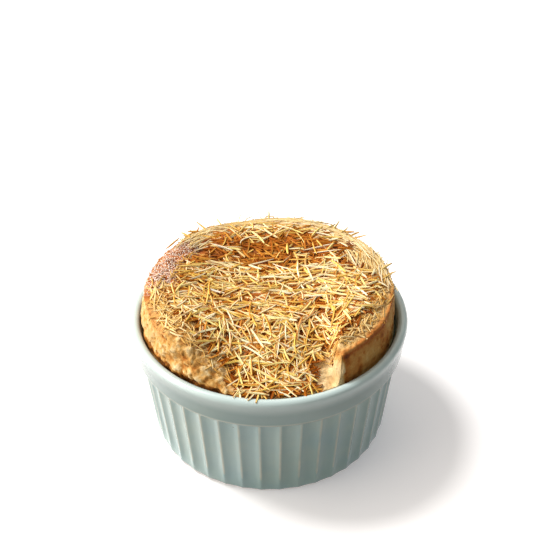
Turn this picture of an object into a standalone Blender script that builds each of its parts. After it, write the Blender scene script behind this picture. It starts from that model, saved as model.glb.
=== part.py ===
"""A baked souffle in its own fluted ramekin, with a layer of toasted shreds on top.

Units are metres and +Z is up. The origin is the centre of the ramekin's base,
on the surface that it stands on. -Y is the front, where the souffle has sunk
to the rim, and +X is the side where a firm slab of crust still stands.
"""

import math

import bmesh
import bpy

# Driving dimensions of the ramekin
RIM_RADIUS = 0.050
DISH_HEIGHT = 0.048
RIM_WIDTH = 0.0036
BAND_HEIGHT = 0.0115
BAND_TAPER = 0.0010
BAND_STEP = 0.0010
FLUTE_COUNT = 42
FLUTE_DEPTH = 0.0011
FLUTE_POWER = 2.3
FLUTE_FADE = 0.0050
STEPS_PER_FLUTE = 4
FLUTED_TOP_RADIUS = 0.0473
FLUTED_BASE_RADIUS = 0.0441
FOOT_RADIUS = 0.0425
FOOT_RING = 0.0040
FOOT_RECESS = 0.0010
FLOOR_THICKNESS = 0.0058
FLOOR_RADIUS = 0.0355
FLOOR_FILLET = 0.0045
KNEE_RADIUS = 0.0450
KNEE_HEIGHT = 0.0410

# Driving dimensions of the souffle and of the layer of shreds
RISE = 0.0118
BACK_PUFF = 0.0011
DIMPLE = 0.0028
SHOULDER_DROP = 0.0016
TOP_RADIUS = 0.0440
SIDE_BULGE = 0.0018
SIDE_FOOT = -0.003
GAP = 0.0003
SOUFFLE_STEPS = 72
SHRED_THICKNESS = 0.0022
SHRED_UNEVEN = 0.0003
TOP_RINGS = (0, 0.2, 0.38, 0.54, 0.68, 0.8, 0.9, 0.96)
SIDE_RINGS = (0.75, 0.4, 0.1)

# Where the front has sunk, as azimuths from the front, positive towards +X
SINK_LEFT = math.radians(-12)
SINK_LEFT_END = math.radians(-52)
SINK_RIGHT = math.radians(27)
SINK_RIGHT_END = math.radians(33)
SINK_FAN = math.radians(35)
SINK_INNER = 0.015
SINK_UNDER_RIM = 0.0014

# Where the side of the slab stands off the ramekin's wall
SLAB_GAP = 0.0016
SLAB_MIDDLE = math.radians(62)
SLAB_HALF_WIDTH = math.radians(34)

INNER_RIM_RADIUS = RIM_RADIUS - RIM_WIDTH
LIP_RADIUS = RIM_WIDTH / 2
LIP_FOOT = DISH_HEIGHT - LIP_RADIUS
FLUTES_TOP = DISH_HEIGHT - BAND_HEIGHT
FLUTES_END = FLUTES_TOP - BAND_STEP
FLUTES_BASE = 0.0022
WALL_FOOT = FLOOR_THICKNESS + FLOOR_FILLET
NEAR = 0.0004


def smoothstep(low, high, value):
    """0 below low, 1 above high, and a smooth change between them."""
    share = min(1.0, max(0.0, (value - low) / (high - low)))
    return share * share * (3 - 2 * share)


def turned(name, profile, steps):
    """A mesh object turned about Z from (radius, height) points, which run down its outer side."""
    mesh = bpy.data.meshes.new(name)
    points = [(radius, 0.0, height) for radius, height in profile]
    mesh.from_pydata(points, [(i, i + 1) for i in range(len(points) - 1)], [])
    guide = bpy.data.objects.new(name + "_profile", mesh)
    bpy.context.scene.collection.objects.link(guide)
    screw = guide.modifiers.new("turn", "SCREW")
    screw.steps = screw.render_steps = steps
    screw.use_merge_vertices = True
    screw.merge_threshold = 0.00001
    screw.use_smooth_shade = True
    bpy.context.view_layer.update()
    evaluated = guide.evaluated_get(bpy.context.evaluated_depsgraph_get())
    solid = bpy.data.meshes.new_from_object(evaluated)
    bpy.data.objects.remove(guide)
    body = bmesh.new()
    body.from_mesh(solid)
    bmesh.ops.remove_doubles(body, verts=body.verts, dist=0.00001)
    body.to_mesh(solid)
    body.free()
    return bpy.data.objects.new(name, solid)


def reshape(obj, place):
    """Moves every vertex of obj to place(radius, azimuth, height), given as (radius, height)."""
    for vertex in obj.data.vertices:
        x, y, z = vertex.co
        angle = math.atan2(y, x)
        radius, height = place(math.hypot(x, y), azimuth_of(x, y), z)
        vertex.co = (radius * math.cos(angle), radius * math.sin(angle), height)
    body = bmesh.new()
    body.from_mesh(obj.data)
    bmesh.ops.triangulate(body, faces=body.faces, quad_method="SHORT_EDGE")
    body.to_mesh(obj.data)
    body.free()


def azimuth_of(x, y):
    """The direction of a point from the front, -Y, positive towards +X."""
    return math.atan2(x, -y)


def arc(centre, radius, start, end, count):
    """(radius, height) points of an arc in the profile's plane, angles in degrees."""
    found = []
    for i in range(count + 1):
        angle = math.radians(start + (end - start) * i / count)
        found.append((centre[0] + radius * math.cos(angle), centre[1] + radius * math.sin(angle)))
    return found


def material(name, colour, roughness, metallic=0.0):
    made = bpy.data.materials.new(name)
    made.use_nodes = True
    shader = made.node_tree.nodes["Principled BSDF"]
    shader.inputs["Base Color"].default_value = (*colour, 1.0)
    shader.inputs["Roughness"].default_value = roughness
    shader.inputs["Metallic"].default_value = metallic
    return made


# ---------------------------------------------------------------- ramekin


def inner_wall_radius(height):
    """Radius of the ramekin's inner wall, which flares from the floor to a knee and on to the lip."""
    if height > KNEE_HEIGHT:
        share = (height - KNEE_HEIGHT) / (LIP_FOOT - KNEE_HEIGHT)
        return KNEE_RADIUS + (INNER_RIM_RADIUS - KNEE_RADIUS) * share
    share = (height - WALL_FOOT) / (KNEE_HEIGHT - WALL_FOOT)
    return FLOOR_RADIUS + FLOOR_FILLET + (KNEE_RADIUS - FLOOR_RADIUS - FLOOR_FILLET) * share


def outer_wall_radius(height):
    """Radius of the tops of the ridges between the flutes."""
    share = (height - FLUTES_BASE) / (FLUTES_TOP - FLUTES_BASE)
    return FLUTED_BASE_RADIUS + (FLUTED_TOP_RADIUS - FLUTED_BASE_RADIUS) * share


def channel_depth(angle):
    """Depth of the flutes at an angle about Z: 0 on a ridge, FLUTE_DEPTH in a flute's middle."""
    across = (angle * FLUTE_COUNT / math.tau) % 1.0
    return FLUTE_DEPTH * (1 - abs(2 * across - 1) ** FLUTE_POWER)


def ramekin_profile():
    """The dish's section, from the middle of its floor over the lip and down to its base."""
    lip_centre = (INNER_RIM_RADIUS + LIP_RADIUS, LIP_FOOT)
    return [
        (0.0, FLOOR_THICKNESS),
        *arc((FLOOR_RADIUS, WALL_FOOT), FLOOR_FILLET, -90, 0, 2),
        (KNEE_RADIUS, KNEE_HEIGHT),
        *arc(lip_centre, LIP_RADIUS, 180, 0, 4),
        (RIM_RADIUS - BAND_TAPER, FLUTES_TOP + BAND_STEP),
        (FLUTED_TOP_RADIUS, FLUTES_TOP),
        (outer_wall_radius(FLUTES_END), FLUTES_END),
        (outer_wall_radius(FLUTE_FADE), FLUTE_FADE),
        (FLUTED_BASE_RADIUS, FLUTES_BASE),
        (FOOT_RADIUS, 0.0),
        (FOOT_RADIUS - FOOT_RING, 0.0),
        (FOOT_RADIUS - FOOT_RING - FOOT_RECESS, FOOT_RECESS),
        (0.0, FOOT_RECESS),
    ]


def build_ramekin():
    """The dish: a plain turned bowl whose outer wall is then drawn in between the ridges."""
    dish = turned("ramekin", ramekin_profile(), FLUTE_COUNT * STEPS_PER_FLUTE)
    for vertex in dish.data.vertices:
        x, y, z = vertex.co
        radius = math.hypot(x, y)
        between = FLUTES_BASE - NEAR < z < FLUTES_END + NEAR
        if between and radius > outer_wall_radius(z) - NEAR:
            depth = channel_depth(math.atan2(y, x)) * smoothstep(0.0, FLUTE_FADE, z)
            vertex.co = (x * (1 - depth / radius), y * (1 - depth / radius), z)
    dish.data.update()
    dish.data.materials.append(material("glaze", (0.47, 0.58, 0.56), 0.25))
    return dish


# ---------------------------------------------------------------- souffle


def front_sink(radius, azimuth):
    """How far the front has sunk: 0 on the risen top, 1 where it comes down to the rim.

    On the left it sinks gently. On the right it breaks off in a step, which is sharp at
    the edge and fans out towards the middle.
    """
    reach = smoothstep(SINK_INNER, TOP_RADIUS, radius)
    if azimuth < 0:
        across = 1 - smoothstep(-SINK_LEFT, -SINK_LEFT_END, -azimuth)
    else:
        fan = SINK_FAN * (1 - smoothstep(0.60, 0.95, radius / TOP_RADIUS))
        across = 1 - smoothstep(SINK_RIGHT - 0.3 * fan, SINK_RIGHT_END + fan, azimuth)
    return reach * across


def rise_at(azimuth):
    """Height of the risen top over the rim, a little puffed at the back and uneven all round."""
    back = 0.5 - 0.5 * math.cos(azimuth)
    lobes = 0.0005 * math.sin(3 * azimuth + 0.6) + 0.0003 * math.sin(7 * azimuth)
    return RISE + BACK_PUFF * back + lobes


def side_radius(height, azimuth):
    """Radius of the souffle's side at a height over the rim: it leans in towards the top."""
    foot = TOP_RADIUS + SIDE_BULGE
    lean = SIDE_BULGE * smoothstep(0.0, RISE, height)
    off_wall = abs(azimuth - SLAB_MIDDLE) / SLAB_HALF_WIDTH
    slab = SLAB_GAP * (1 - smoothstep(0.5, 1.0, off_wall))
    return foot - lean - slab * (1 - 0.5 * smoothstep(0.0, RISE, height))


def top_height(radius, azimuth):
    """Height over the rim of the baked top: a dimple, a puffed ring and a rounded shoulder."""
    share = radius / TOP_RADIUS
    outer = smoothstep(0.25, 0.80, share)
    risen = RISE - DIMPLE + (rise_at(azimuth) - RISE + DIMPLE) * outer
    risen -= SHOULDER_DROP * smoothstep(0.84, 1.0, share) ** 2
    sink = front_sink(radius, azimuth)
    return risen * (1 - sink) - SINK_UNDER_RIM * sink


def souffle_profile():
    """Rings of the souffle, as (radius, height).

    The top's height is 1, and the side's is a share of the way up from its foot to the
    crest. Inside the dish a height is a real one, measured down from the rim.
    """
    top = [(TOP_RADIUS * share, 1.0) for share in (*TOP_RINGS, 1.0)]
    side = [(TOP_RADIUS + SIDE_BULGE, share) for share in SIDE_RINGS]
    levels = ((KNEE_HEIGHT + LIP_FOOT) / 2, KNEE_HEIGHT, WALL_FOOT)
    inside = [(inner_wall_radius(z) - GAP, z - DISH_HEIGHT) for z in levels]
    bottom = FLOOR_THICKNESS + GAP - DISH_HEIGHT
    return [*top, *side, *inside, (FLOOR_RADIUS, bottom), (0.0, bottom)]


def build_souffle():
    """The baked egg mixture, one solid from the ramekin's floor to the risen top."""

    def place(radius, azimuth, height):
        if height <= 0:
            return radius, DISH_HEIGHT + height
        crest = top_height(TOP_RADIUS, azimuth)
        if height == 1:
            reach = side_radius(crest, azimuth) * radius / TOP_RADIUS
            return reach, DISH_HEIGHT + top_height(radius, azimuth)
        up = SIDE_FOOT + (crest - SIDE_FOOT) * height
        return side_radius(up, azimuth), DISH_HEIGHT + up

    souffle = turned("souffle", souffle_profile(), SOUFFLE_STEPS)
    reshape(souffle, place)
    souffle.data.materials.append(material("crust", (0.72, 0.46, 0.18), 0.75))
    return souffle


# ---------------------------------------------------------------- shreds


def build_shreds():
    """The toasted shreds as one closed layer that follows the baked top."""
    upper = [(TOP_RADIUS * share, 1.0) for share in TOP_RINGS]
    lower = [(TOP_RADIUS * share, 0.0) for share in reversed(TOP_RINGS)]

    def place(radius, azimuth, level):
        share = radius / TOP_RADIUS
        reach = side_radius(top_height(TOP_RADIUS, azimuth), azimuth) * share
        surface = DISH_HEIGHT + top_height(radius, azimuth) + GAP
        if level == 0:
            return reach, surface
        thin = 1 - 0.6 * smoothstep(0.85, TOP_RINGS[-1], share)
        uneven = SHRED_UNEVEN * math.sin(5 * azimuth + 90 * share)
        return reach, surface + SHRED_THICKNESS * thin + uneven * share

    layer = turned("shred_topping", [*upper, *lower], SOUFFLE_STEPS)
    reshape(layer, place)
    layer.data.materials.append(material("toasted_shreds", (0.78, 0.50, 0.16), 0.6))
    return layer


def main():
    for obj in list(bpy.data.objects):
        bpy.data.objects.remove(obj)
    parts = bpy.data.collections.new("souffle_in_ramekin")
    bpy.context.scene.collection.children.link(parts)
    for obj in (build_ramekin(), build_souffle(), build_shreds()):
        parts.objects.link(obj)


main()
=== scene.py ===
import math

import bmesh
import bpy
import numpy as np
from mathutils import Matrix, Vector, noise


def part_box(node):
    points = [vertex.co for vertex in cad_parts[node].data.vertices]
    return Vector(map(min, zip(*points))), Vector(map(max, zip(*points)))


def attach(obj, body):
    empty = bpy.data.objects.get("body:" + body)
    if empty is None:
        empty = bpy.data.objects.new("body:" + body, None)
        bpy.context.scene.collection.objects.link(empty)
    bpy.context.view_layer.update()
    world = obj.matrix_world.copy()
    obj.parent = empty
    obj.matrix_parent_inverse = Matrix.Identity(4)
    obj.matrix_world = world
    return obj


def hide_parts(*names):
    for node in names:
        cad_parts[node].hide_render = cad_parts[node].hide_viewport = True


# A baked souffle in its fluted ramekin, topped with toasted shreds. Metres, +Z up,
# with the sunk front towards -Y and the firm slab of crust towards +X.

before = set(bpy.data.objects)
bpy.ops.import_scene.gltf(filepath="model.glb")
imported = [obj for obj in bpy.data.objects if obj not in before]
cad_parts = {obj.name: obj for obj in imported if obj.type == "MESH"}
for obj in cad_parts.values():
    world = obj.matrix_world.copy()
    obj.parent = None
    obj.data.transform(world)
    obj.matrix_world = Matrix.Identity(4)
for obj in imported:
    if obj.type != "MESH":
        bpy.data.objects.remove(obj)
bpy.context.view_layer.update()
dishLow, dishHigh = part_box("ramekin")
rimRadius = dishHigh.x
rimHeight = dishHigh.z


# tools shared by the pieces

def smooth(low, high, value):
    share = np.clip((value - low) / (high - low), 0.0, 1.0)
    return share * share * (3 - 2 * share)


def hump(low, high, edge, value):
    # 1 between low and high, falling to 0 over the width of edge outside them
    return smooth(low - edge, low, value) * (1 - smooth(high, high + edge, value))


def paint(code):
    # a colour written as on a paint chart, in the linear values that a shader takes
    parts = [int(code[i:i + 2], 16) / 255 for i in (0, 2, 4)]
    linear = [c / 12.92 if c <= 0.04045 else ((c + 0.055) / 1.055) ** 2.4 for c in parts]
    return (*linear, 1.0)


def show(obj):
    bpy.context.scene.collection.objects.link(obj)
    return obj


def put(tree, kind, feeds=None, **settings):
    # one node, with its settings, and each input fed by a socket or a plain value
    made = tree.nodes.new(kind)
    for key, value in settings.items():
        setattr(made, key, value)
    for key, value in (feeds or {}).items():
        if isinstance(value, bpy.types.NodeSocket):
            tree.links.new(value, made.inputs[key])
        else:
            made.inputs[key].default_value = value
    return made


def maths(tree, operation, *values):
    return put(tree, "ShaderNodeMath", dict(enumerate(values)), operation=operation).outputs[0]


def vectors(tree, operation, *values):
    return put(tree, "ShaderNodeVectorMath", dict(enumerate(values)), operation=operation).outputs[0]


def remap(tree, value, low, high, toLow=0.0, toHigh=1.0):
    feeds = {0: value, 1: low, 2: high, 3: toLow, 4: toHigh}
    return put(tree, "ShaderNodeMapRange", feeds, interpolation_type="SMOOTHSTEP").outputs[0]


# tools for the Geometry Nodes trees

def startTree(name, sockets):
    tree = bpy.data.node_groups.new(name, "GeometryNodeTree")
    tree.is_modifier = True
    face = tree.interface
    face.new_socket("Geometry", in_out="INPUT", socket_type="NodeSocketGeometry")
    for label, kind in sockets.items():
        face.new_socket(label, in_out="INPUT", socket_type="NodeSocket" + kind)
    face.new_socket("Geometry", in_out="OUTPUT", socket_type="NodeSocketGeometry")
    return tree, tree.nodes.new("NodeGroupInput").outputs, tree.nodes.new("NodeGroupOutput")


def grow(name, host, tree, values):
    # runs a tree on the host's mesh and keeps the result as a plain mesh object
    modifier = host.modifiers.new(tree.name, "NODES")
    modifier.node_group = tree
    for item in tree.interface.items_tree:
        if item.in_out == "INPUT" and item.name in values:
            modifier[item.identifier] = values[item.name]
    bpy.context.view_layer.update()
    evaluated = host.evaluated_get(bpy.context.evaluated_depsgraph_get())
    mesh = bpy.data.meshes.new_from_object(evaluated)
    host.modifiers.remove(modifier)
    while len(mesh.materials) > 1:
        mesh.materials.pop(index=0)
    mesh.polygons.foreach_set("material_index", [0] * len(mesh.polygons))
    mesh.name = name
    return show(bpy.data.objects.new(name, mesh))


def readValue(tree, name, kind="FLOAT"):
    return put(tree, "GeometryNodeInputNamedAttribute", {0: name}, data_type=kind).outputs[0]


def storeValue(tree, geometry, name, value, kind="FLOAT"):
    feeds = {0: geometry, 2: name, 3: value}
    return put(tree, "GeometryNodeStoreNamedAttribute", feeds, data_type=kind, domain="POINT").outputs[0]


def chance(tree, low, high, seed):
    feeds = {2: low, 3: high, 8: seed}
    return put(tree, "FunctionNodeRandomValue", feeds, data_type="FLOAT").outputs[1]


def chanceVector(tree, low, high, seed):
    feeds = {0: low, 1: high, 8: seed}
    return put(tree, "FunctionNodeRandomValue", feeds, data_type="FLOAT_VECTOR").outputs[0]


def placeOf(tree):
    return put(tree, "GeometryNodeInputPosition").outputs[0]


def scaled(tree, vector, amount):
    return put(tree, "ShaderNodeVectorMath", {0: vector, 3: amount}, operation="SCALE").outputs[0]


def fromMiddle(tree, share):
    # 0 in the middle of a share that runs from 0 to 1, and 1 at both its ends
    doubled = maths(tree, "MULTIPLY", share, 2.0)
    return maths(tree, "ABSOLUTE", maths(tree, "SUBTRACT", doubled, 1.0))


def scatter(tree, given):
    # points on the host, as dense as the chosen cover says
    density = maths(tree, "MULTIPLY", readValue(tree, given["Cover"]), given["Per Square Metre"])
    feeds = {"Mesh": given["Geometry"], "Density": density, "Seed": given["Seed"]}
    return put(tree, "GeometryNodeDistributePointsOnFaces", feeds, distribute_method="RANDOM").outputs


def aboutAxis(tree, axis, angle):
    return put(tree, "FunctionNodeAxisAngleToRotation", {0: axis, 1: angle}).outputs[0]


def moved(tree, geometry, offset):
    return put(tree, "GeometryNodeSetPosition", {0: geometry, 3: offset}).outputs[0]


def joinXyz(tree, x, y, z):
    return put(tree, "ShaderNodeCombineXYZ", {0: x, 1: y, 2: z}).outputs[0]


def splitXyz(tree, vector):
    return put(tree, "ShaderNodeSeparateXYZ", {0: vector}).outputs


def closeTree(tree, geometry, finish, outlet, smoothFaces):
    real = put(tree, "GeometryNodeRealizeInstances", {0: geometry}).outputs[0]
    shaded = put(tree, "GeometryNodeSetShadeSmooth", {0: real, 2: smoothFaces}).outputs[0]
    last = put(tree, "GeometryNodeSetMaterial", {0: shaded, 2: finish}).outputs[0]
    tree.links.new(last, outlet.inputs[0])


# tools for the materials

def startFinish(name, roughness, specular=0.5):
    made = bpy.data.materials.new(name)
    made.use_nodes = True
    shader = made.node_tree.nodes["Principled BSDF"]
    shader.inputs["Roughness"].default_value = roughness
    shader.inputs["Specular IOR Level"].default_value = specular
    return made, made.node_tree, shader


def ownPlace(tree):
    return put(tree, "ShaderNodeTexCoord").outputs["Object"]


def grain(tree, place, size, detail=3.0, roughness=0.5):
    # a noise whose features are about size metres across
    feeds = {"Vector": place, "Scale": 1 / size, "Detail": detail, "Roughness": roughness}
    return put(tree, "ShaderNodeTexNoise", feeds).outputs[0]


def drift(tree, place, size, amount, detail=3.0, roughness=0.5):
    # a noise that wanders to both sides of 0
    level = maths(tree, "SUBTRACT", grain(tree, place, size, detail, roughness), 0.5)
    return maths(tree, "MULTIPLY", level, amount)


def attribute(tree, name):
    return put(tree, "ShaderNodeAttribute", attribute_name=name).outputs["Fac"]


def blendPaints(tree, share, first, second):
    feeds = {0: share, 6: first, 7: second}
    return put(tree, "ShaderNodeMix", feeds, data_type="RGBA").outputs[2]


def colourBand(tree, value, stops):
    made = put(tree, "ShaderNodeValToRGB", {0: value})
    band = made.color_ramp.elements
    while len(band) < len(stops):
        band.new(1.0)
    for element, (place, code) in zip(band, stops):
        element.position = place
        element.color = paint(code)
    return made.outputs[0]


def roughen(tree, shader, height, strength, distance):
    feeds = {"Strength": strength, "Distance": distance, "Height": height}
    bump = put(tree, "ShaderNodeBump", feeds)
    tree.links.new(bump.outputs[0], shader.inputs["Normal"])


# camera, first, because everything is judged through it

camera = {
    "place": (0.0, -0.2524, 0.2425),
    "towards": (0.0071, 0.8143, -0.5804),
    "up": (0.0083, 0.5804, 0.8143),
    "lens": 57.6,
}


def setCamera():
    lens = bpy.data.cameras.new("camera")
    lens.lens = camera["lens"]
    lens.sensor_width = 36
    lens.clip_start = 0.01
    holder = show(bpy.data.objects.new("camera", lens))
    forward = Vector(camera["towards"]).normalized()
    right = forward.cross(Vector(camera["up"])).normalized()
    upward = right.cross(forward)
    turn = holder.matrix_world.to_3x3()
    turn.col[0], turn.col[1], turn.col[2] = right, upward, -forward
    holder.matrix_world = turn.to_4x4()
    holder.location = camera["place"]
    bpy.context.scene.camera = holder


# the fluted dish

dish = {
    "flutes": 42,
    "stepsPerFlute": 14,
    "fluteDepth": 0.00125,
    "fluteHollow": 2.4,        # higher is flatter across the channel
    "ridgeRounding": 0.24,     # share of the depth
    "rimWidth": 0.0036,
    "bandHeight": 0.0115,
    "bandTaper": 0.0010,
    "ridgeTop": 0.0473,        # radius of the ridges under the band and at the base
    "ridgeBase": 0.0441,
    "ridgeFoot": 0.0022,
    "footRadius": 0.0425,
    "footRing": 0.0040,
    "footRecess": 0.0010,
    "floor": 0.0058,
    "floorRadius": 0.0355,
    "fillet": 0.0045,
    "kneeRadius": 0.0450,
    "kneeHeight": 0.0410,
    "wobble": 0.00012,         # how far the hand-finished wall wanders
    "glaze": [(0.3, "84a5a9"), (0.5, "8aa8a7"), (0.7, "92aca6")],
    # painted shade: the band above the flutes is darker than the glaze
    "bandShadePaint": "64807c",
    # painted highlight: the upper band and the lip are lighter
    "lipHighlightPaint": "c8dadc",
    "thinPaint": "bfc0ae",     # the warm body under thin glaze
    "speckPaint": "4c4538",
    "footPaint": "c9bca6",
    "speckSpacing": 0.0060,
}


def arc(centre, radius, start, end, count):
    found = []
    for i in range(count + 1):
        angle = math.radians(start + (end - start) * i / count)
        found.append((centre[0] + radius * math.cos(angle), centre[1] + radius * math.sin(angle)))
    return found


def dishProfile():
    # (radius, height, share of the flute's depth), from the middle of the floor, over the lip, to the base
    d = dish
    lip = d["rimWidth"] / 2
    lipFoot = rimHeight - lip
    bandFoot = rimHeight - d["bandHeight"]
    wallFoot = d["floor"] + d["fillet"]
    inside = [(0.0, d["floor"]), (0.02, d["floor"])]
    inside += arc((d["floorRadius"], wallFoot), d["fillet"], -90, 0, 5)
    inside += [(d["kneeRadius"], d["kneeHeight"])]
    lipArc = arc((rimRadius - lip, lipFoot), lip, 180, 0, 14)
    band = [(rimRadius - d["bandTaper"] * share, lipFoot + (bandFoot + 0.0016 - lipFoot) * share)
            for share in (0.25, 0.5, 0.75)]
    turnIn = 0.0010
    edge = arc((rimRadius - d["bandTaper"] - turnIn, bandFoot + 0.0010), turnIn, 8, -62, 7)
    profile = [(r, z, 0.0) for r, z in [*inside, *lipArc, *band, *edge]]
    top = bandFoot - 0.0001
    for i in range(27):
        z = top + (d["ridgeFoot"] - top) * (i / 26) ** 1.15
        share = (z - d["ridgeFoot"]) / (bandFoot - d["ridgeFoot"])
        radius = d["ridgeBase"] + (d["ridgeTop"] - d["ridgeBase"]) * share
        deep = float(smooth(top, top - 0.0011, z)) * (0.42 + 0.58 * float(smooth(0.0018, 0.0080, z)))
        profile.append((radius, z, deep))
    rounding = arc((d["footRadius"], d["ridgeFoot"]), d["ridgeBase"] - d["footRadius"], 0, -90, 5)[1:]
    squash = d["ridgeFoot"] / (d["ridgeBase"] - d["footRadius"])
    for k, (r, z) in enumerate(rounding):
        z = d["ridgeFoot"] + (z - d["ridgeFoot"]) * squash
        profile.append((r, max(z, 0.0), 0.42 - 0.22 * (k + 1) / len(rounding)))
    ring = d["footRadius"] - d["footRing"]
    recess = [(ring, 0.0), (ring - 0.0004, 0.0003)]
    recess += [(ring - d["footRecess"], d["footRecess"]), (0.0, d["footRecess"])]
    return profile + [(r, z, 0.0) for r, z in recess]


def flutedDishTree():
    # turns the host's profile about Z on a grid, and draws the wall in between the ridges
    tree, given, outlet = startTree("flutedDish", {
        "Flutes": "Int", "Steps Per Flute": "Int", "Flute Depth": "Float", "Hollow": "Float",
        "Ridge Rounding": "Float", "Wobble": "Float", "Finish": "Material"})
    rows = put(tree, "GeometryNodeAttributeDomainSize", {0: given["Geometry"]}, component="MESH").outputs[0]
    columns = maths(tree, "MULTIPLY", given["Flutes"], given["Steps Per Flute"])
    columns = maths(tree, "ADD", columns, 1.0)
    grid = put(tree, "GeometryNodeMeshGrid", {0: 1.0, 1: 1.0, 2: columns, 3: rows}).outputs[0]
    spot = splitXyz(tree, placeOf(tree))
    around = maths(tree, "ADD", spot[0], 0.5)
    row = maths(tree, "MULTIPLY", maths(tree, "ADD", spot[1], 0.5), maths(tree, "SUBTRACT", rows, 1.0))
    row = maths(tree, "ROUND", row)

    def atRow(value, kind):
        feeds = {0: given["Geometry"], 1: value, 2: row}
        return put(tree, "GeometryNodeSampleIndex", feeds, data_type=kind).outputs[0]

    profile = splitXyz(tree, atRow(placeOf(tree), "FLOAT_VECTOR"))
    deep = atRow(readValue(tree, "deep"), "FLOAT")
    # across one flute: 0 on a ridge, 1 in the middle of the channel, with the ridge rounded off
    across = maths(tree, "FRACT", maths(tree, "MULTIPLY", around, given["Flutes"]))
    aside = fromMiddle(tree, across)
    hollow = maths(tree, "SUBTRACT", 1.0, maths(tree, "POWER", aside, given["Hollow"]))
    rounding = given["Ridge Rounding"]
    softened = maths(tree, "SQRT", maths(tree, "ADD", maths(tree, "MULTIPLY", hollow, hollow),
                                         maths(tree, "MULTIPLY", rounding, rounding)))
    channel = maths(tree, "SUBTRACT", softened, rounding)
    depth = maths(tree, "MULTIPLY", maths(tree, "MULTIPLY", channel, deep), given["Flute Depth"])
    angle = maths(tree, "MULTIPLY", around, math.tau)
    plain = joinXyz(tree, maths(tree, "COSINE", angle), maths(tree, "SINE", angle), 0.0)
    lift = joinXyz(tree, 0.0, 0.0, maths(tree, "MULTIPLY", profile[2], 60.0))
    ripple = put(tree, "ShaderNodeTexNoise", {"Vector": vectors(tree, "ADD", plain, lift), "Scale": 3.0,
                                              "Detail": 1.0}).outputs[0]
    outer = remap(tree, profile[0], 0.0430, 0.0480)
    ripple = maths(tree, "MULTIPLY", maths(tree, "SUBTRACT", ripple, 0.5), given["Wobble"])
    radius = maths(tree, "SUBTRACT", profile[0], depth)
    radius = maths(tree, "ADD", radius, maths(tree, "MULTIPLY", ripple, outer))
    turned = joinXyz(tree, maths(tree, "MULTIPLY", maths(tree, "COSINE", angle), radius),
                     maths(tree, "MULTIPLY", maths(tree, "SINE", angle), radius), profile[2])
    ridge = maths(tree, "MULTIPLY", maths(tree, "SUBTRACT", 1.0, channel), deep)
    kept = storeValue(tree, grid, "ridge", ridge)
    shaped = put(tree, "GeometryNodeSetPosition", {0: kept, 2: turned}).outputs[0]
    closed = put(tree, "GeometryNodeMergeByDistance", {0: shaped, 2: 0.000001}).outputs[0]
    closeTree(tree, closed, given["Finish"], outlet, True)
    return tree


def glazeFinish():
    made, tree, shader = startFinish("celadonGlaze", 0.28, 0.5)
    place = ownPlace(tree)
    height = splitXyz(tree, place)[2]
    ridge = attribute(tree, "ridge")
    cloudy = grain(tree, place, 0.018, 3.0, 0.55)
    base = colourBand(tree, cloudy, dish["glaze"])
    bandFoot = rimHeight - dish["bandHeight"]
    # painted shade: the band above the flutes is made darker
    band = maths(tree, "MULTIPLY", remap(tree, height, bandFoot - 0.0005, bandFoot + 0.0005), 0.75)
    base = blendPaints(tree, band, base, paint(dish["bandShadePaint"]))
    # painted highlight: lighter from the upper band over the lip
    lip = maths(tree, "MULTIPLY", remap(tree, height, rimHeight - 0.0065, rimHeight - 0.0006), 0.8)
    base = blendPaints(tree, lip, base, paint(dish["lipHighlightPaint"]))
    # where the glaze ran thin, the warm body shows: on the ridges and under the band's edge
    uneven = remap(tree, grain(tree, place, 0.006), 0.35, 0.65)
    patchy = remap(tree, uneven, 0.0, 1.0, 0.45, 0.85)
    onRidge = maths(tree, "MULTIPLY", remap(tree, ridge, 0.78, 1.0), patchy)
    nearEdge = maths(tree, "ABSOLUTE", maths(tree, "SUBTRACT", height, bandFoot + 0.0006))
    onEdge = maths(tree, "MULTIPLY", remap(tree, nearEdge, 0.0010, 0.0), 0.55)
    thin = maths(tree, "MAXIMUM", onRidge, onEdge)
    base = blendPaints(tree, thin, base, paint(dish["thinPaint"]))
    # iron specks under the glaze
    cells = put(tree, "ShaderNodeTexVoronoi", {"Vector": place, "Scale": 1 / dish["speckSpacing"]})
    pick = splitXyz(tree, cells.outputs["Color"])
    speck = maths(tree, "MULTIPLY", remap(tree, cells.outputs["Distance"], 0.065, 0.03),
                  maths(tree, "GREATER_THAN", pick[0], 0.93))
    base = blendPaints(tree, maths(tree, "MULTIPLY", speck, 0.8), base, paint(dish["speckPaint"]))
    # the foot ring is bare clay
    bare = remap(tree, height, 0.00045, 0.0002)
    base = blendPaints(tree, bare, base, paint(dish["footPaint"]))
    tree.links.new(base, shader.inputs["Base Color"])
    gloss = maths(tree, "ADD", 0.27, maths(tree, "MULTIPLY", bare, 0.5))
    tree.links.new(gloss, shader.inputs["Roughness"])
    shader.inputs["Coat Weight"].default_value = 0.7
    shader.inputs["Coat Roughness"].default_value = 0.20
    return made


def makeDish():
    rows = dishProfile()
    mesh = bpy.data.meshes.new("dishProfile")
    links = [(i, i + 1) for i in range(len(rows) - 1)]
    mesh.from_pydata([(r, 0.0, z) for r, z, deep in rows], links, [])
    mesh.attributes.new("deep", "FLOAT", "POINT").data.foreach_set("value", [row[2] for row in rows])
    host = show(bpy.data.objects.new("dishProfile", mesh))
    made = grow("fluted_dish", host, flutedDishTree(), {
        "Flutes": dish["flutes"], "Steps Per Flute": dish["stepsPerFlute"],
        "Flute Depth": dish["fluteDepth"], "Hollow": dish["fluteHollow"],
        "Ridge Rounding": dish["ridgeRounding"], "Wobble": dish["wobble"], "Finish": glazeFinish()})
    bpy.data.objects.remove(host)
    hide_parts("ramekin")
    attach(made, "root")
    print("dish:", len(made.data.polygons), "faces")


# the baked egg

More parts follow.
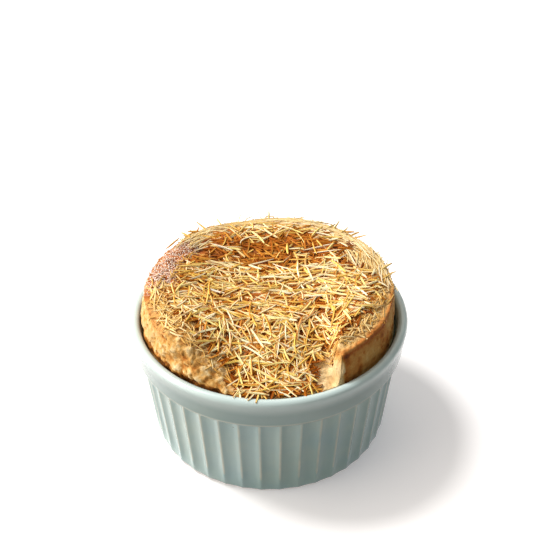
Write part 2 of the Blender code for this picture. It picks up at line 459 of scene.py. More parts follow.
souffle = {
    "rise": 0.0114,
    "backPuff": 0.0004,
    "dimple": 0.0028,
    "shoulderDrop": 0.0016,
    "topRadius": 0.0440,
    "sideBulge": 0.0018,
    "sideFoot": -0.003,
    "gap": 0.0003,
    "sinkLeft": math.radians(12),      # left and right of the sunk front, as turns from -Y
    "sinkLeftEnd": math.radians(52),
    "sinkRight": math.radians(28),
    "sinkRightEnd": math.radians(33),
    "sinkFan": math.radians(35),
    "sinkInner": 0.015,
    "sinkUnderRim": 0.0014,
    "slabGap": 0.0010,
    "slabMiddle": math.radians(62),
    "slabHalfWidth": math.radians(34),
    "lumpSeed": 5,
    "leftInset": 0.009,                # share by which the left stands further in
    "lipGap": 0.0001,
    "columns": 640,
    "topRings": 60,
    "sideRings": 46,
    "crumb": [(0.0, "f2deb4"), (0.25, "e2c694"), (0.45, "cd9e58"), (0.68, "b06e2a"), (1.0, "673913")],
    "crust": [(0.1, "e8c48a"), (0.35, "dbae6c"), (0.58, "c07c3c"), (0.80, "a4561e"), (1.0, "6e3814")],
    "dust": "f8e8d0",
}

# stretches of the crust, in degrees from the front and positive to the right:
# where each begins, where it ends and over how many degrees it fades
crustStretches = {
    "left": (-130, -14, 12),
    "lumpy": (-50, -15, 8),
    "front": (-14, 33, 4),
    "broken": (17, 31.8, 1.5),
    "slab": (33, 92, 3),
    "sugaredRight": (92, 122, 8),
    "paleRight": (92, 150, 8),
    "patch": (-134, -84, 8),           # bare, browned and sugared
}


def frontSink(radius, azimuth):
    s = souffle
    left = 1 - smooth(s["sinkLeft"], s["sinkLeftEnd"], -azimuth)
    fan = s["sinkFan"] * (1 - smooth(0.60, 0.95, radius / s["topRadius"]))
    right = 1 - smooth(s["sinkRight"] - 0.3 * fan, s["sinkRightEnd"] + fan, azimuth)
    return smooth(s["sinkInner"], s["topRadius"], radius) * np.where(azimuth < 0, left, right)


def riseAt(azimuth):
    back = 0.5 - 0.5 * np.cos(azimuth)
    lobes = 0.0005 * np.sin(3 * azimuth + 0.6) + 0.0003 * np.sin(7 * azimuth)
    return souffle["rise"] + souffle["backPuff"] * back + lobes


def sideRadius(height, azimuth):
    s = souffle
    up = smooth(0.0, s["rise"], height)
    offWall = np.abs(azimuth - s["slabMiddle"]) / s["slabHalfWidth"]
    slab = s["slabGap"] * (1 - smooth(0.5, 1.0, offWall))
    return s["topRadius"] + s["sideBulge"] * (1 - up) - slab * (1 - 0.5 * up)


def topHeight(radius, azimuth):
    # height over the rim
    s = souffle
    share = radius / s["topRadius"]
    low = s["rise"] - s["dimple"]
    risen = low + (riseAt(azimuth) - low) * smooth(0.25, 0.80, share)
    risen = risen - s["shoulderDrop"] * smooth(0.84, 1.0, share) ** 2
    sink = frontSink(radius, azimuth)
    return risen * (1 - sink) - s["sinkUnderRim"] * sink


def innerWall(height):
    d = dish
    wallFoot = d["floor"] + d["fillet"]
    foot = d["floorRadius"] + d["fillet"]
    lower = foot + (d["kneeRadius"] - foot) * (height - wallFoot) / (d["kneeHeight"] - wallFoot)
    lipFoot = rimHeight - d["rimWidth"] / 2
    lip = rimRadius - d["rimWidth"]
    up = (height - d["kneeHeight"]) / (lipFoot - d["kneeHeight"])
    upper = d["kneeRadius"] + (lip - d["kneeRadius"]) * up
    return upper if height > d["kneeHeight"] else lower


def bodyGrid(columns, topRings, sideRings, sideReach=1.0):
    # places on the top and down the side: radius, turn from the front, height over the rim,
    # share of the way out on the top and share of the way down the side
    turn = np.linspace(-math.pi, math.pi, columns, endpoint=False)
    crest = topHeight(souffle["topRadius"], turn)
    edge = sideRadius(crest, turn)
    rows = []
    for i in range(topRings + 1):
        out = 1 - (1 - i / topRings) ** 1.35
        radius = souffle["topRadius"] * out
        rows.append((edge * out, turn, topHeight(radius, turn), out + 0 * turn, 0 * turn))
    for i in range(1, sideRings + 1):
        down = (i / sideRings) * sideReach
        height = crest + (souffle["sideFoot"] - crest) * down
        rows.append((sideRadius(height, turn), turn, height, 1 + 0 * turn, down + 0 * turn))
    return np.array(rows).transpose(1, 0, 2)


def standing(radius, turn, height):
    return np.stack([radius * np.sin(turn), -radius * np.cos(turn), rimHeight + height], axis=-1)


def normalsOf(places):
    # outward normals of a grid of rings, by the cross product of its two directions
    along = np.roll(places, -1, axis=1) - np.roll(places, 1, axis=1)
    down = np.gradient(places, axis=0)
    found = np.cross(down, along)
    length = np.linalg.norm(found, axis=-1, keepdims=True)
    found = np.where(length > 1e-12, found / np.maximum(length, 1e-12), (0.0, 0.0, 1.0))
    found[0] = (0.0, 0.0, 1.0)
    return found


def sampled(places, rule):
    flat = places.reshape(-1, 3)
    return np.array([rule(Vector(p)) for p in flat.tolist()]).reshape(places.shape[:-1])


def lumps(size, offset, ragged=0.0):
    # rounded lumps that press against each other, 0 in the creases and about 1 on top
    def rule(p):
        place = (p + Vector(offset)) / size
        place += noise.noise_vector(place * 1.7) * ragged
        return 1 - min(1.0, 1.5 * noise.voronoi(place)[0][0]) ** 2
    return rule


def pores(size, offset, share):
    # round pits in some of the cells, 1 at their bottom
    def rule(p):
        distances, cells = noise.voronoi((p + Vector(offset)) / size)
        if noise.cell(cells[0] * 9.1) > 2 * share - 1:
            return 0.0
        return max(0.0, 1 - distances[0] / 0.42)
    return rule


def ripples(size, offset, octaves=3):
    return lambda p: noise.fractal((p + Vector(offset)) / size, 0.9, 2.0, octaves)


def ringMesh(name, places, values):
    rings, columns = places.shape[:2]
    index = np.arange(rings * columns).reshape(rings, columns)
    following = np.roll(index, -1, axis=1)
    quads = np.stack([index[:-1], index[1:], following[1:], following[:-1]], axis=-1).reshape(-1, 4)
    mesh = bpy.data.meshes.new(name)
    mesh.from_pydata(places.reshape(-1, 3).tolist(), [], quads.tolist())
    for label, value in values.items():
        spread = mesh.attributes.new(label, "FLOAT", "POINT")
        spread.data.foreach_set("value", value.ravel().astype(np.float32))
    shape = bmesh.new()
    shape.from_mesh(mesh)
    bmesh.ops.remove_doubles(shape, verts=shape.verts, dist=0.000001)
    shape.to_mesh(mesh)
    shape.free()
    mesh.shade_smooth()
    return show(bpy.data.objects.new(name, mesh))


def eggFinish():
    made, tree, shader = startFinish("bakedEgg", 0.7, 0.14)
    place = ownPlace(tree)
    brownAndShade = attribute(tree, "brownAndShade")
    level = maths(tree, "ADD", brownAndShade, drift(tree, place, 0.0011, 0.30, 4.0, 0.6))
    level = maths(tree, "ADD", level, drift(tree, place, 0.0050, 0.35, 2.0))
    crumb = colourBand(tree, level, souffle["crumb"])
    crust = colourBand(tree, level, souffle["crust"])
    base = blendPaints(tree, attribute(tree, "skin"), crumb, crust)
    dust = remap(tree, maths(tree, "ADD", grain(tree, place, 0.0006, 2.0),
                             maths(tree, "MULTIPLY", attribute(tree, "sugar"), 0.5)), 0.80, 0.95)
    base = blendPaints(tree, maths(tree, "MULTIPLY", dust, 0.7), base, paint(souffle["dust"]))
    tree.links.new(base, shader.inputs["Base Color"])
    height = maths(tree, "ADD", grain(tree, place, 0.0009, 5.0, 0.65),
                   maths(tree, "MULTIPLY", grain(tree, place, 0.0030, 3.0), 0.8))
    roughen(tree, shader, height, 0.55, 0.0007)
    return made


def makeSouffle():
    s = souffle
    noise.seed_set(s["lumpSeed"])      # without it the ragged lumps differ from run to run
    radius, turn, height, out, down = bodyGrid(s["columns"], s["topRings"], s["sideRings"])
    places = standing(radius, turn, height)
    facing = normalsOf(places)
    degrees = np.degrees(turn)
    onSide = smooth(0.0, 0.12, down)
    nearCrest = np.exp(-((1 - out) * s["topRadius"] / 0.0016) ** 2) * np.exp(-(down / 0.13) ** 2)
    stretch = {name: hump(*ends, degrees) for name, ends in crustStretches.items()}
    left, slab, front = stretch["left"], stretch["slab"], stretch["front"]
    lumpy = stretch["lumpy"] * smooth(0.76, 0.86, out)
    broken = stretch["broken"] * smooth(0.78, 0.86, out)
    back = 1 - np.clip(left + slab + front, 0, 1)

    pits = sampled(places, pores(0.0024, (0.3, 0.1, 0.0), 0.55))
    tiny = sampled(places, pores(0.0011, (0.7, 0.2, 0.5), 0.5))
    bulge = sampled(places, lumps(0.0052, (0.11, 0.2, 0.3), 0.3))
    boulders = sampled(places, lumps(0.0044, (0.52, 0.13, 0.71), 0.2))
    crumbs = sampled(places, lumps(0.0021, (0.15, 0.33, 0.9), 0.6))
    pebbles = sampled(places, lumps(0.0013, (0.8, 0.4, 0.1)))
    rough = sampled(places, ripples(0.0030, (0.4, 0.9, 0.2)))
    soft = sampled(places, ripples(0.0120, (0.9, 0.3, 0.6), 2))

    crumbly = onSide * (left + 0.8 * back)
    push = 0.0007 * (bulge - 0.5) * crumbly - 0.0013 * pits * crumbly - 0.0005 * tiny * crumbly
    heap = 0.0008 * (boulders - 0.25) + 0.0002 * (crumbs - 0.5) - 0.0005 * tiny + 0.0003 * rough
    push += heap * lumpy
    push += 0.0007 * (boulders - 0.4) * broken + 0.0008 * rough * broken - 0.0003 * tiny * broken
    push += 0.00022 * rough * onSide * slab - 0.00035 * pits * onSide * slab
    push += 0.00045 * (pebbles - 0.5) * (1 - onSide) * smooth(0.6, 0.8, out)
    push += 0.00016 * rough * (1 - onSide) + 0.0004 * soft - 0.0003 * tiny * (1 - onSide)
    push += 0.00035 * nearCrest * (slab + 0.5 * left + 0.5 * back)
    push += 0.0005 * hump(0.0, 0.0055, 0.003, height) * left * onSide
    push[0] = 0.0
    places = places + facing * push[..., None]
    # on the left it stands a little further in, so that the lip of the dish shows
    places[..., :2] *= 1 - s["leftInset"] * (left * smooth(0.7, 1.0, out))[..., None]
    # nothing reaches through the rounded lip of the dish
    reach = np.hypot(places[..., 0], places[..., 1])
    lip = dish["rimWidth"] / 2
    above = np.clip(places[..., 2] - (rimHeight - lip), 0.0, lip)
    limit = rimRadius - lip - np.sqrt(lip ** 2 - above ** 2) - s["lipGap"]
    limit = np.where(places[..., 2] > rimHeight, 1.0, limit)
    shrink = np.minimum(1.0, limit / np.maximum(reach, 1e-9))
    places[..., :2] *= shrink[..., None]

    onTop = 1 - onSide
    # how browned the crust is at each place, with painted shade added in its pits and creases and along the
    # rim on the left
    brownAndShade = onSide * (0.30 * left + 0.50 * slab + 0.34 * back + 0.20 * front)
    brownAndShade += onTop * (0.60 - 0.28 * smooth(0.68, 0.80, out) - 0.20 * slab * smooth(0.76, 0.84, out))
    # painted shade: darker in the pits and between the crumbs of the crumbly wall
    brownAndShade += 0.50 * pits * crumbly + 0.30 * tiny * crumbly + 0.10 * (1 - crumbs) * crumbly
    # painted shade: darker in the creases between the lumps
    brownAndShade += (0.25 * (1 - boulders) + 0.20 * (1 - crumbs) - 0.20) * lumpy
    brownAndShade += nearCrest * (0.46 * slab + 0.12 * left + 0.16 * back)
    spots = sampled(places, pores(0.0045, (0.6, 0.4, 0.2), 0.45))
    brownAndShade += slab * onSide * (0.35 * spots + 0.16 * soft)
    # painted shade: a dark band at and just above the rim, where the left wall meets the dish
    brownAndShade += 0.45 * (1 - smooth(0.0, 0.0011, height)) * left * onSide
    # painted shade: darker in the pits of the slab's side
    brownAndShade += 0.30 * pits * slab * onSide
    # the crack is browner higher up, with painted shade in its pores and between its lumps
    torn = 0.03 + 0.30 * smooth(0.003, 0.009, height) + 0.1 * tiny + 0.18 * (1 - boulders)
    brownAndShade = brownAndShade * (1 - broken) + broken * torn
    skin = onTop + onSide * slab * 0.35 + nearCrest
    skin = np.clip(skin * (1 - broken) * (1 - lumpy) + 0.45 * broken, 0, 1)
    patch = stretch["patch"] * smooth(0.66, 0.76, out) * (1 - smooth(0.0, 0.12, down))
    scorch = 0.5 + 0.5 * rough + 0.6 * (1 - pebbles)
    brownAndShade += 0.72 * patch * scorch * (1 - 0.6 * nearCrest)
    brownAndShade -= 0.28 * stretch["paleRight"] * smooth(0.76, 0.84, out) * onTop
    nearTop = 1 - smooth(0.0, 0.1, down)
    sugared = 0.62 * patch + 0.4 * stretch["sugaredRight"] * smooth(0.84, 0.9, out) * nearTop

    lower = []
    levels = [(dish["kneeHeight"] + rimHeight - dish["rimWidth"] / 2) / 2, dish["kneeHeight"],
              dish["floor"] + dish["fillet"]]
    columns = turn[0]
    for level in levels:
        wall = innerWall(level) - s["gap"] + 0 * columns
        lower.append(standing(wall, columns, level - rimHeight + 0 * columns))
    bottom = dish["floor"] + s["gap"] - rimHeight
    for reach in (dish["floorRadius"], 0.0):
        lower.append(standing(reach + 0 * columns, columns, bottom + 0 * columns))
    blank = np.zeros((len(lower), len(columns)))
    places = np.concatenate([places, np.array(lower)])
    values = {"brownAndShade": brownAndShade, "skin": skin, "sugar": sugared}
    values = {label: np.concatenate([np.clip(value, 0, 1), blank]) for label, value in values.items()}
    body = ringMesh("baked_souffle", places, values)
    body.data.materials.append(eggFinish())
    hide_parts("souffle")
    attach(body, "root")
    print("souffle:", len(body.data.polygons), "faces")
    return body


# the bed that the toasted shreds lie on, with a cover for each kind of shred

bed = {
    "columns": 200,
    "topRings": 40,
    "sideRings": 8,
    "sideReach": 0.3,
    "shredReach": 0.99,        # how far out the dense shreds lie, as a share of the top
}

# stretches of the bed, as the crust's, and how much further out the dense shreds reach there
bedStretches = {
    "front": (-14, 20, 4, 0.02),
    "broken": (21, 33, 3, -0.20),
    "slab": (36, 84, 6, -0.13),
    "lumpy": (-44, -20, 8, -0.19),
    "left": (-84, -50, 8, -0.19),
    "patch": (-130, -88, 8, -0.29),
    "right": (92, 118, 6, -0.14),
}


def makeBed():
    sizes = [bed[key] for key in ("columns", "topRings", "sideRings", "sideReach")]
    radius, turn, height, out, down = bodyGrid(*sizes)
    places = standing(radius, turn, height)
    degrees = np.degrees(turn)
    reach = out + 0.3 * down
    stretch = {}
    limit = bed["shredReach"]
    for name, (low, high, edge, further) in bedStretches.items():
        stretch[name] = hump(low, high, edge, degrees)
        limit = limit + further * stretch[name]
    slab, lumpy, left = stretch["slab"], stretch["lumpy"], stretch["left"]
    patch, right = stretch["patch"], stretch["right"]
    # the back crosses 180 degrees, so it is measured round the left only
    roundLeft = np.where(degrees > 0, degrees - 360, degrees)
    limit = limit - 0.17 * hump(-255, -128, 8, roundLeft)
    dense = 1 - smooth(limit - 0.05, limit + 0.02, reach)
    shade = smooth(0.006, 0.014, places[..., 1]) * (1 - smooth(0.028, 0.034, places[..., 1]))
    bright = dense * (1 - 0.8 * shade)
    strands = smooth(0.60, 0.80, out) * hump(-262, -130, 8, roundLeft)
    strands = strands * (1 - 0.75 * smooth(0.02, 0.25, down)) * (1 - patch) * (1 - 0.5 * right)
    curls = dense * smooth(0.2, 0.4, out) * smooth(-0.02, 0.01, places[..., 1])
    rim = smooth(limit - 0.10, limit, reach) * (1 - smooth(limit + 0.06, limit + 0.13, reach))
    ring = smooth(0.72, 0.80, out) * (1 - smooth(0.93, 0.965, out))
    rightRing = smooth(0.76, 0.82, out) * (1 - smooth(0.97, 0.995, out)) * right
    ring = ring * (left + 0.35 * slab) + rightRing
    thin = np.clip(rim * (0.7 * slab + 0.7 * lumpy + 0.45 * patch) + ring, 0, 1)
    notFront = 1 - hump(-110, 70, 20, degrees)
    edge = smooth(0.93, 0.99, out) * (1 - smooth(0.0, 0.1, down)) * notFront
    loose = smooth(0.004, -0.026, places[..., 1])
    sugared = patch * smooth(0.68, 0.80, out) * (1 - smooth(0.0, 0.35, down))
    dusting = 0.10 * right * smooth(0.84, 0.92, out)
    dusting = dusting + 0.05 * hump(-180, -130, 10, degrees) * smooth(0.7, 0.9, out)
    values = {"dense": dense, "strands": strands, "thin": thin, "edge": edge, "loose": loose,
              "bright": bright, "curls": curls, "sugar": np.clip(sugared + dusting, 0, 1)}
    return ringMesh("shredBed", places, values)


def shredTree():
    # scatters bent, flat-sided shreds over the host where the cover says
    tree, given, outlet = startTree("toastedShreds", {
        "Cover": "String", "Per Square Metre": "Float", "Seed": "Int", "Shortest": "Float",
        "Longest": "Float", "Width": "Float", "Thickness": "Float", "Lowest": "Float",
        "Highest": "Float", "Follow Edge": "Float", "Heading": "Float", "Spread": "Float",
        "Raise": "Float", "Tilt": "Float", "Curl": "Float", "Hug": "Float", "Taper": "Float",
        "Joints": "Int", "Finish": "Material"})

    def seed(extra):
        return maths(tree, "ADD", given["Seed"], float(extra))

    spots = scatter(tree, given)
    points, normal = spots["Points"], spots["Normal"]
    lift = chance(tree, given["Lowest"], given["Highest"], seed(1))
    points = storeValue(tree, points, "lift", lift)
    points = storeValue(tree, points, "tone", chance(tree, 0.0, 1.0, seed(2)))
    points = storeValue(tree, points, "roll", chance(tree, -0.65, 0.65, seed(3)))
    points = storeValue(tree, points, "broad", chance(tree, 0.75, 1.25, seed(4)))
    length = chance(tree, given["Shortest"], given["Longest"], seed(5))
    sway = chanceVector(tree, (-1, -1, -0.35), (1, 1, 0.35), seed(6))
    sway = scaled(tree, sway, maths(tree, "MULTIPLY", length, given["Curl"]))
    points = storeValue(tree, points, "sway", sway, "FLOAT_VECTOR")
    # heading: about a set direction or along the edge, wilder where the front is loose
    spot = splitXyz(tree, placeOf(tree))
    alongEdge = maths(tree, "ADD", maths(tree, "ARCTAN2", spot[1], spot[0]), math.pi / 2)
    base = maths(tree, "ADD", given["Heading"], maths(tree, "MULTIPLY", alongEdge, given["Follow Edge"]))
    dice = chance(tree, -1.0, 1.0, seed(7))
    calm = maths(tree, "SUBTRACT", 1.0, readValue(tree, "loose"))
    aside = maths(tree, "POWER", maths(tree, "ABSOLUTE", dice), maths(tree, "MULTIPLY", calm, 0.9))
    aside = maths(tree, "MULTIPLY", given["Spread"], maths(tree, "MULTIPLY", dice, aside))
    heading = maths(tree, "ADD", base, aside)
    laid = put(tree, "FunctionNodeAlignRotationToVector",
               {0: aboutAxis(tree, (0, 0, 1), heading), 1: 1.0, 2: normal}, axis="Z").outputs[0]
    tilt = maths(tree, "MULTIPLY", chance(tree, -1.0, 1.0, seed(8)), given["Tilt"])
    tilt = maths(tree, "MULTIPLY", maths(tree, "ADD", given["Raise"], tilt), -1.0)
    laid = put(tree, "FunctionNodeRotateRotation", {0: laid, 1: aboutAxis(tree, (0, 1, 0), tilt)},
               rotation_space="LOCAL").outputs[0]
    line = put(tree, "GeometryNodeCurvePrimitiveLine", {0: (-0.5, 0, 0), 1: (0.5, 0, 0)}).outputs[0]
    line = put(tree, "GeometryNodeResampleCurve", {0: line, 2: given["Joints"]}).outputs[0]
    shreds = put(tree, "GeometryNodeInstanceOnPoints",
                 {0: points, 2: line, 5: laid, 6: joinXyz(tree, length, 1.0, 1.0)}).outputs[0]
    curves = put(tree, "GeometryNodeRealizeInstances", {0: shreds}).outputs[0]
    # bend each shred, then let it settle on the bed
    along = put(tree, "GeometryNodeSplineParameter").outputs[0]
    curves = storeValue(tree, curves, "along", along)
    bow = maths(tree, "MULTIPLY", along, maths(tree, "SUBTRACT", 1.0, along))
    bow = maths(tree, "SUBTRACT", maths(tree, "MULTIPLY", bow, 4.0), 0.67)
    curves = moved(tree, curves, scaled(tree, readValue(tree, "sway", "FLOAT_VECTOR"), bow))
    overhead = 0.02
    above = vectors(tree, "ADD", placeOf(tree), (0, 0, overhead))
    feeds = {0: given["Geometry"], 2: above, 3: (0, 0, -1), 4: 3 * overhead}
    ray = put(tree, "GeometryNodeRaycast", feeds).outputs
    drop = maths(tree, "SUBTRACT", overhead, ray[3])
    settle = maths(tree, "MULTIPLY", maths(tree, "MULTIPLY", drop, given["Hug"]), ray[0])
    settle = maths(tree, "ADD", settle, readValue(tree, "lift"))
    curves = moved(tree, curves, joinXyz(tree, 0.0, 0.0, settle))
    roll = readValue(tree, "roll")
    roll = maths(tree, "ADD", roll, maths(tree, "MULTIPLY", along, roll))
    curves = put(tree, "GeometryNodeSetCurveTilt", {0: curves, 2: roll}).outputs[0]
    taper = maths(tree, "MULTIPLY", maths(tree, "POWER", fromMiddle(tree, along), 3.0), given["Taper"])
    thick = maths(tree, "MULTIPLY", maths(tree, "SUBTRACT", 1.0, taper), readValue(tree, "broad"))
    feeds = {0: given["Thickness"], 1: given["Width"]}
    section = put(tree, "GeometryNodeCurvePrimitiveQuadrilateral", feeds).outputs[0]
    upper = maths(tree, "GREATER_THAN", splitXyz(tree, placeOf(tree))[0], 0.0)
    section = storeValue(tree, section, "upper", upper)
    solid = put(tree, "GeometryNodeCurveToMesh", {0: curves, 1: section, 2: thick, 3: True}).outputs[0]
    closeTree(tree, solid, given["Finish"], outlet, False)
    return tree


def shredFinish(name, stops, tip, rind):
    made, tree, shader = startFinish(name, 0.55, 0.12)
    place = ownPlace(tree)
    level = maths(tree, "ADD", attribute(tree, "tone"), drift(tree, place, 0.0020, 0.5))
    base = colourBand(tree, level, stops)
    ends = fromMiddle(tree, attribute(tree, "along"))
    ends = maths(tree, "ADD", ends, drift(tree, place, 0.0030, 0.6))
    base = blendPaints(tree, maths(tree, "MULTIPLY", remap(tree, ends, 0.72, 1.05), 0.7), base, paint(tip))
    # the face that lies upwards is the paint above, and the others are browned more, which also paints the
    # shade on the faces turned away from the light
    browningAndShade = remap(tree, attribute(tree, "upper"), 0.25, 0.75, 0.85, 0.0)
    base = blendPaints(tree, browningAndShade, base, paint(rind))
    tree.links.new(base, shader.inputs["Base Color"])
    roughen(tree, shader, grain(tree, place, 0.0004, 2.0), 0.3, 0.0001)
    return made


shredKinds = {
    # how each kind is scattered, and its colours from the darkest to the palest; the lower a kind lies, the
    # darker it is painted, partly deeper toasting and partly painted shade under the layers above
    "shreds_deep": {
        "Cover": "dense", "Per Square Metre": 0.52e6, "Seed": 11, "Shortest": 0.0040, "Longest": 0.0085,
        "Width": 0.00066, "Thickness": 0.00048, "Lowest": 0.0002, "Highest": 0.0009, "Follow Edge": 0.0,
        "Heading": 0.0, "Spread": 1.57, "Raise": 0.0, "Tilt": 0.06, "Curl": 0.10, "Hug": 0.85, "Taper": 0.35,
        "Joints": 6, "stops": [(0.1, "7c3c08"), (0.5, "9e5612"), (0.9, "bc7824")],
        "tip": "6e350f", "rind": "7c3c0c"},
    "shreds_toasted": {
        "Cover": "dense", "Per Square Metre": 0.36e6, "Seed": 23, "Shortest": 0.0038, "Longest": 0.0092,
        "Width": 0.00060, "Thickness": 0.00048, "Lowest": 0.0005, "Highest": 0.0016, "Follow Edge": 0.0,
        "Heading": 0.0, "Spread": 1.57, "Raise": 0.0, "Tilt": 0.12, "Curl": 0.08, "Hug": 0.75, "Taper": 0.35,
        "Joints": 6, "stops": [(0.1, "a25a14"), (0.5, "c47c22"), (0.9, "dca244")],
        "tip": "94521a", "rind": "a05012"},
    "shreds_golden": {
        "Cover": "bright", "Per Square Metre": 0.37e6, "Seed": 37, "Shortest": 0.0038, "Longest": 0.0095,
        "Width": 0.00058, "Thickness": 0.00046, "Lowest": 0.0009, "Highest": 0.0023, "Follow Edge": 0.0,
        "Heading": 0.0, "Spread": 1.57, "Raise": 0.0, "Tilt": 0.16, "Curl": 0.07, "Hug": 0.70, "Taper": 0.35,
        "Joints": 6, "stops": [(0.1, "ecca66"), (0.5, "faea98"), (0.9, "fef9d0")],
        "tip": "c88c40", "rind": "c27620"},
    "shreds_pale": {
        "Cover": "bright", "Per Square Metre": 0.06e6, "Seed": 41, "Shortest": 0.0038, "Longest": 0.0092,
        "Width": 0.00052, "Thickness": 0.00044, "Lowest": 0.0012, "Highest": 0.0022, "Follow Edge": 0.0,
        "Heading": 0.0, "Spread": 1.57, "Raise": 0.0, "Tilt": 0.16, "Curl": 0.07, "Hug": 0.75, "Taper": 0.35,
        "Joints": 7, "stops": [(0.1, "f2dc9c"), (0.5, "f8ecbc"), (0.9, "fcf7dc")],
        "tip": "ddb676", "rind": "d8a458"},
    "strands_white": {
        "Cover": "curls", "Per Square Metre": 0.014e6, "Seed": 52, "Shortest": 0.0080, "Longest": 0.0130,
        "Width": 0.00055, "Thickness": 0.00040, "Lowest": 0.0016, "Highest": 0.0024, "Follow Edge": 0.0,
        "Heading": 0.0, "Spread": 0.8, "Raise": 0.0, "Tilt": 0.05, "Curl": 0.22, "Hug": 0.9, "Taper": 0.5,
        "Joints": 9, "stops": [(0.1, "f6edca"), (0.5, "fbf6e2"), (0.9, "fffcf0")],
        "tip": "eed9a8", "rind": "ecd49c"},
    "strands_back": {
        "Cover": "strands", "Per Square Metre": 1.0e6, "Seed": 53, "Shortest": 0.0070, "Longest": 0.0150,
        "Width": 0.00045, "Thickness": 0.00034, "Lowest": -0.0003, "Highest": 0.0011, "Follow Edge": 1.0,
        "Heading": 0.0, "Spread": 0.6, "Raise": 0.0, "Tilt": 0.03, "Curl": 0.10, "Hug": 0.92, "Taper": 0.5,
        "Joints": 8, "stops": [(0.1, "d6b878"), (0.5, "ecd8a6"), (0.9, "f8efd6")],
        "tip": "c89c58", "rind": "dcc088"},
    "strands_edge": {
        "Cover": "thin", "Per Square Metre": 0.75e6, "Seed": 67, "Shortest": 0.0030, "Longest": 0.0075,
        "Width": 0.00042, "Thickness": 0.00030, "Lowest": 0.0001, "Highest": 0.0008, "Follow Edge": 1.0,
        "Heading": 0.0, "Spread": 1.3, "Raise": 0.0, "Tilt": 0.03, "Curl": 0.10, "Hug": 0.95, "Taper": 0.5,
        "Joints": 7, "stops": [(0.1, "d2a050"), (0.5, "e8c478"), (0.9, "f6e4b0")],
        "tip": "b07a3c", "rind": "c8984e"},
    "shreds_fringe": {
        "Cover": "edge", "Per Square Metre": 0.045e6, "Seed": 79, "Shortest": 0.0055, "Longest": 0.0092,
        "Width": 0.00062, "Thickness": 0.00042, "Lowest": 0.0004, "Highest": 0.0016, "Follow Edge": 1.0,
        "Heading": -1.57, "Spread": 1.3, "Raise": 0.38, "Tilt": 0.35, "Curl": 0.12, "Hug": 0.0, "Taper": 0.5,
        "Joints": 6, "stops": [(0.1, "d9a552"), (0.5, "ecc878"), (0.9, "f4e0a0")],
        "tip": "a86020", "rind": "cc9640"},
}


def makeShreds(host):
    tree = shredTree()
    for name, kind in shredKinds.items():
        values = {key: value for key, value in kind.items() if key not in ("stops", "tip", "rind")}
        values["Finish"] = shredFinish(name, kind["stops"], kind["tip"], kind["rind"])
        made = grow(name, host, tree, values)
        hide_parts("shred_topping")
        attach(made, "root")
        print(name + ":", len(made.data.polygons) // (4 * kind["Joints"] - 2), "shreds,",
              len(made.data.polygons), "faces")


# a dark brown mat under the loose shreds: partly crushed shreds, and partly painted shade in the gaps
# between them

mat = {
    "columns": 300,
    "topRings": 70,
    "thickness": 0.0009,
    "relief": 0.00035,
    "bareDrop": 0.0024,        # how far it dips under the crust where no shreds lie
    "pullIn": 0.04,            # share by which its edge is drawn in
    "skirt": 0.0034,           # how far its underside lies below the bed
    "browns": [(0.3, "4c2509"), (0.5, "753f12"), (0.7, "a0662a")],
}


def matFinish():
    made, tree, shader = startFinish("crushedShredsAndGapShade", 0.75, 0.2)
    place = ownPlace(tree)
    streaks = put(tree, "ShaderNodeMapping", {"Vector": place, "Scale": (0.35, 1.0, 1.0)}).outputs[0]
    level = grain(tree, streaks, 0.0012, 4.0, 0.6)
    # painted shade: dark browns for the gaps between the shreds
    base = colourBand(tree, level, mat["browns"])
    tree.links.new(base, shader.inputs["Base Color"])
    roughen(tree, shader, level, 0.6, 0.0006)
    return made


def makeMat():
    radius, turn, height, out, down = bodyGrid(mat["columns"], mat["topRings"], 1, 0.01)
    degrees = np.degrees(turn)
    places = standing(radius, turn, height)
    patch = hump(*crustStretches["patch"], degrees) * smooth(0.60, 0.70, out)
    rim = smooth(0.90, 0.97, out) + hump(20, 118, 5, degrees) * smooth(0.76, 0.84, out)
    rim = rim + hump(-84, -18, 6, degrees) * smooth(0.70, 0.80, out)
    cover = np.clip(1 - patch - rim, 0, 1)
    relief = sampled(places, ripples(0.0016, (0.2, 0.5, 0.8)))
    upper = mat["thickness"] * cover + mat["relief"] * relief * cover - mat["bareDrop"] * (1 - cover)
    places[..., :2] *= 1 - mat["pullIn"] * smooth(0.85, 1.0, out)[..., None]
    top = places.copy()
    top[..., 2] += upper
    under = places[::-1].copy()
    under[..., 2] -= mat["skirt"]
    made = ringMesh("shred_mat", np.concatenate([top, under]), {})
    made.data.materials.append(matFinish())
    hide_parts("shred_topping")
    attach(made, "root")
    print("mat:", len(made.data.polygons), "faces")


# sugar grains dusted on the bare crust

sugar = {
    "perSquareMetre": 1.8e6,
    "smallest": 0.00010,
    "largest": 0.00024,
    "seed": 97,
    "whites": [(0.35, "f2e6dc"), (0.65, "ffffff")],
}


def grainTree():
    tree, given, outlet = startTree("sugarGrains", {
        "Cover": "String", "Per Square Metre": "Float", "Seed": "Int", "Smallest": "Float",
        "Largest": "Float", "Finish": "Material"})
    points = scatter(tree, given)["Points"]
    size = chance(tree, given["Smallest"], given["Largest"], maths(tree, "ADD", given["Seed"], 1.0))
    turn = chanceVector(tree, (0, 0, 0), (math.tau, math.tau, math.tau), given["Seed"])
    turn = put(tree, "FunctionNodeEulerToRotation", {0: turn}).outputs[0]
    grainShape = put(tree, "GeometryNodeMeshIcoSphere", {0: 1.0, 1: 1}).outputs[0]
    feeds = {0: points, 2: grainShape, 5: turn, 6: joinXyz(tree, size, size, size)}
    grains = put(tree, "GeometryNodeInstanceOnPoints", feeds).outputs[0]
    closeTree(tree, grains, given["Finish"], outlet, False)
    return tree


def sugarFinish():
    made, tree, shader = startFinish("powderedSugar", 0.6, 0.4)
    base = colourBand(tree, grain(tree, ownPlace(tree), 0.0010), sugar["whites"])
    tree.links.new(base, shader.inputs["Base Color"])
    return made


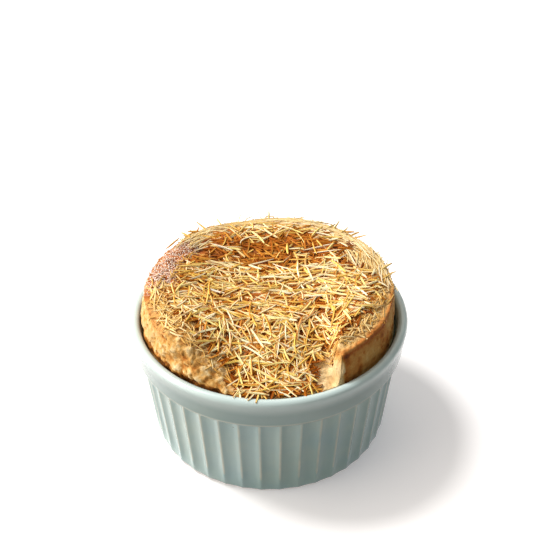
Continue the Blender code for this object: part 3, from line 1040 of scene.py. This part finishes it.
def makeSugar(host):
    made = grow("sugar_grains", host, grainTree(), {
        "Cover": "sugar", "Per Square Metre": sugar["perSquareMetre"], "Seed": sugar["seed"],
        "Smallest": sugar["smallest"], "Largest": sugar["largest"], "Finish": sugarFinish()})
    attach(made, "root")
    print("sugar:", len(made.data.polygons) // 20, "grains")


# floor and light

stage = {
    "wide": 3.0,
    "under": 0.00005,         # the floor's gap under the foot ring
    "floor": "f4f4f6",
    "floorSpeckle": "dcd8d4",
    "floorGlow": 0.215,
    "glowPaint": "f4f0fa",
    "sunPaint": (1.0, 0.975, 0.94),
    "sunFrom": (-0.62, 0.30, 1.0),
    "sunSize": 18,            # degrees
    "sun": 3.0,
    "sky": 0.42,
    "ground": 0.42,
    "window": 3.4,            # a bright window low on the left
    "windowFrom": (-0.95, -0.05, 0.30),
    "wall": 0.8,              # a pale wall behind
    "wallFrom": (0.0, 0.80, 0.60),
    "skyPaints": ("fff5e8", "dcdfda"),    # left and right
}


def setStage():
    mesh = bpy.data.meshes.new("floor")
    corners = ((-1, -1), (1, -1), (1, 1), (-1, 1))
    corners = [(x * stage["wide"], y * stage["wide"], -stage["under"]) for x, y in corners]
    mesh.from_pydata(corners, [], [(0, 1, 2, 3)])
    floor = show(bpy.data.objects.new("floor", mesh))
    made, tree, shader = startFinish("paleFloor", 0.9, 0.0)
    speckle = grain(tree, ownPlace(tree), 0.004)
    speckle = maths(tree, "MULTIPLY", speckle, 0.04)
    tone = blendPaints(tree, speckle, paint(stage["floor"]), paint(stage["floorSpeckle"]))
    tree.links.new(tone, shader.inputs["Base Color"])
    shader.inputs["Emission Color"].default_value = paint(stage["glowPaint"])
    shader.inputs["Emission Strength"].default_value = stage["floorGlow"]
    mesh.materials.append(made)
    floor.visible_diffuse = False
    sun = bpy.data.lights.new("sun", "SUN")
    sun.energy = stage["sun"]
    sun.angle = math.radians(stage["sunSize"])
    sun.color = stage["sunPaint"]
    lamp = show(bpy.data.objects.new("sun", sun))
    lamp.rotation_euler = (-Vector(stage["sunFrom"])).to_track_quat("-Z", "Y").to_euler()
    world = bpy.data.worlds.new("studio")
    world.use_nodes = True
    bpy.context.scene.world = world
    tree = world.node_tree
    up = splitXyz(tree, put(tree, "ShaderNodeTexCoord").outputs["Generated"])[2]
    sky = remap(tree, up, -0.25, 0.35, stage["ground"], stage["sky"])
    towards = put(tree, "ShaderNodeTexCoord").outputs["Generated"]
    for part, inner in (("window", 0.98), ("wall", 0.95)):
        aim = Vector(stage[part + "From"]).normalized()
        facing = put(tree, "ShaderNodeVectorMath", {0: towards, 1: aim}, operation="DOT_PRODUCT")
        facing = facing.outputs["Value"]
        sky = maths(tree, "ADD", sky, remap(tree, facing, 0.70, inner, 0.0, stage[part]))
    back = tree.nodes["Background"]
    sideways = remap(tree, splitXyz(tree, towards)[0], -0.4, 0.8)
    tint = blendPaints(tree, sideways, *map(paint, stage["skyPaints"]))
    tree.links.new(tint, back.inputs[0])
    tree.links.new(sky, back.inputs[1])
    bpy.context.scene.view_settings.view_transform = "Standard"


setCamera()
makeDish()
makeSouffle()
shredBed = makeBed()
makeMat()
makeShreds(shredBed)
makeSugar(shredBed)
bpy.data.objects.remove(shredBed)
setStage()
